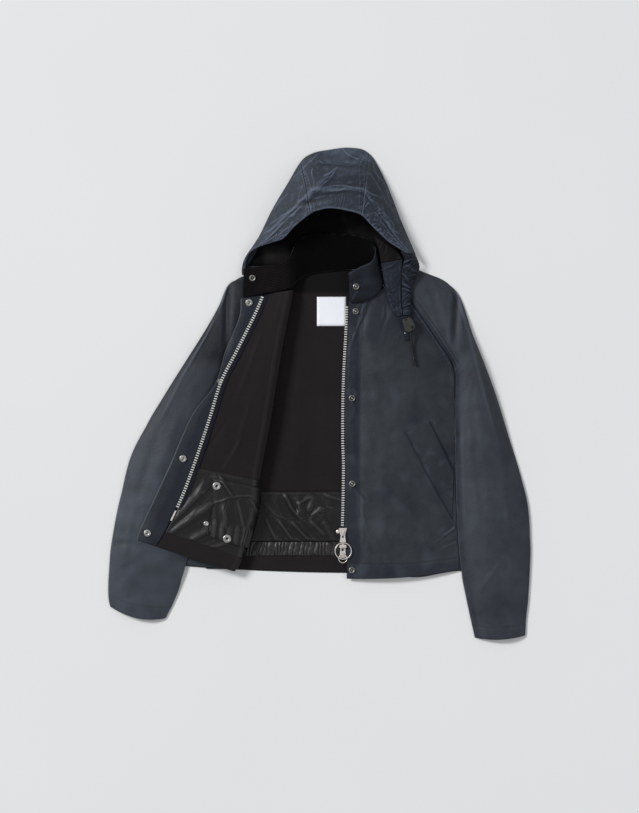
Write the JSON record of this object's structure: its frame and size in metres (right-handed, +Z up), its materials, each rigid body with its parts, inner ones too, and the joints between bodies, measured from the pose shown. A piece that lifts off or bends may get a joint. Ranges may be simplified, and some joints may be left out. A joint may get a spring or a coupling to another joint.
{
  "type": "waxed cotton jacket",
  "caption": "Hooded waxed cotton jacket laid open and flat, one front folded back to show its lining, with a two-way zip.",
  "frame": {"origin": "on the surface under the middle of the garment's box", "axes": "+Z up from the surface, +Y towards the hood, +X towards the closed-side sleeve"},
  "size_m": [0.8862, 1.0324, 0.0663],
  "materials": {
    "waxed_cotton": "dark navy waxed cotton, dull with soft highlights on its creases",
    "cotton_lining": "matt brown-black brushed cotton",
    "nylon_lining": "smooth black-brown nylon with a sheen",
    "black_lining": "matt black cotton",
    "corduroy": "fine black corduroy",
    "label_tape": "plain white woven tape",
    "zip_tape": "navy woven tape",
    "zip_metal": "aged silver",
    "dark_plastic": "matt moulded",
    "cord": "dark braided cord"
  },
  "bodies": {
    "root": {"back_panel": "waxed_cotton", "sleeve_left_front": "waxed_cotton", "sleeve_left_back": "waxed_cotton", "sleeve_right_front": "waxed_cotton", "sleeve_right_back": "waxed_cotton", "front_right_panel": "waxed_cotton", "pocket_welt": "waxed_cotton", "front_left_panel": "waxed_cotton", "front_left_lining": "cotton_lining", "front_left_nylon": "nylon_lining", "front_left_hem_facing": "cotton_lining", "front_left_flap": "waxed_cotton", "zip_tape_left": "zip_tape", "zip_teeth_left": "zip_metal", "zip_end_pin": "zip_metal", "skirt_flap": "nylon_lining", "back_lining": "cotton_lining", "back_nylon": "nylon_lining", "back_waistband": "nylon_lining", "back_hem_facing": "cotton_lining", "neck_label": "label_tape", "zip_teeth_right": "zip_metal", "zip_tape_right": "zip_tape", "collar_lining": "corduroy", "collar_shell": "waxed_cotton", "hood_lining_crown": "black_lining", "hood_back": "waxed_cotton", "hood_lining_back": "black_lining", "hood_lining_side": "black_lining", "hood_facing": "waxed_cotton", "hood_channel": "waxed_cotton", "hood_tab": "waxed_cotton", "cord_lock": "dark_plastic", "drawcord": "cord", "cord_tip": "cord", "skirt_cord": "nylon_lining", "slider_upper": "zip_metal", "slider_lower": "zip_metal", "hood_left": "waxed_cotton", "hood_centre": "waxed_cotton", "hood_right": "waxed_cotton", "snap_front_1": "zip_metal", "snap_front_2": "zip_metal", "snap_front_3": "zip_metal", "snap_front_hem": "zip_metal", "snap_flap_1": "zip_metal", "snap_flap_3": "zip_metal", "snap_flap_4": "zip_metal", "snap_skirt_1": "zip_metal", "snap_skirt_2": "zip_metal", "snap_collar_left": "zip_metal", "snap_collar_right": "zip_metal", "skirt_stopper": "zip_metal"},
    "pull_plate": {"pull_plate": "zip_metal"},
    "pull_ring": {"pull_ring": "zip_metal"},
    "lower_ring": {"lower_ring": "zip_metal"}
  },
  "joints": [
    {"name": "pull_plate_swing", "type": "hinge", "parent": "root", "child": "pull_plate", "pos_m": [0.04898, -0.29162, 0.0142], "axis": [-1, 0, 0], "range_deg": [0, 120]},
    {"name": "pull_ring_swing", "type": "hinge", "parent": "pull_plate", "child": "pull_ring", "pos_m": [0.04898, -0.31304, 0.0142], "axis": [-1, 0, 0], "range_deg": [0, 60]},
    {"name": "lower_ring_swing", "type": "hinge", "parent": "root", "child": "lower_ring", "pos_m": [0.04898, -0.3374, 0.0106], "axis": [-1, 0, 0], "range_deg": [0, 6]}
  ]
}
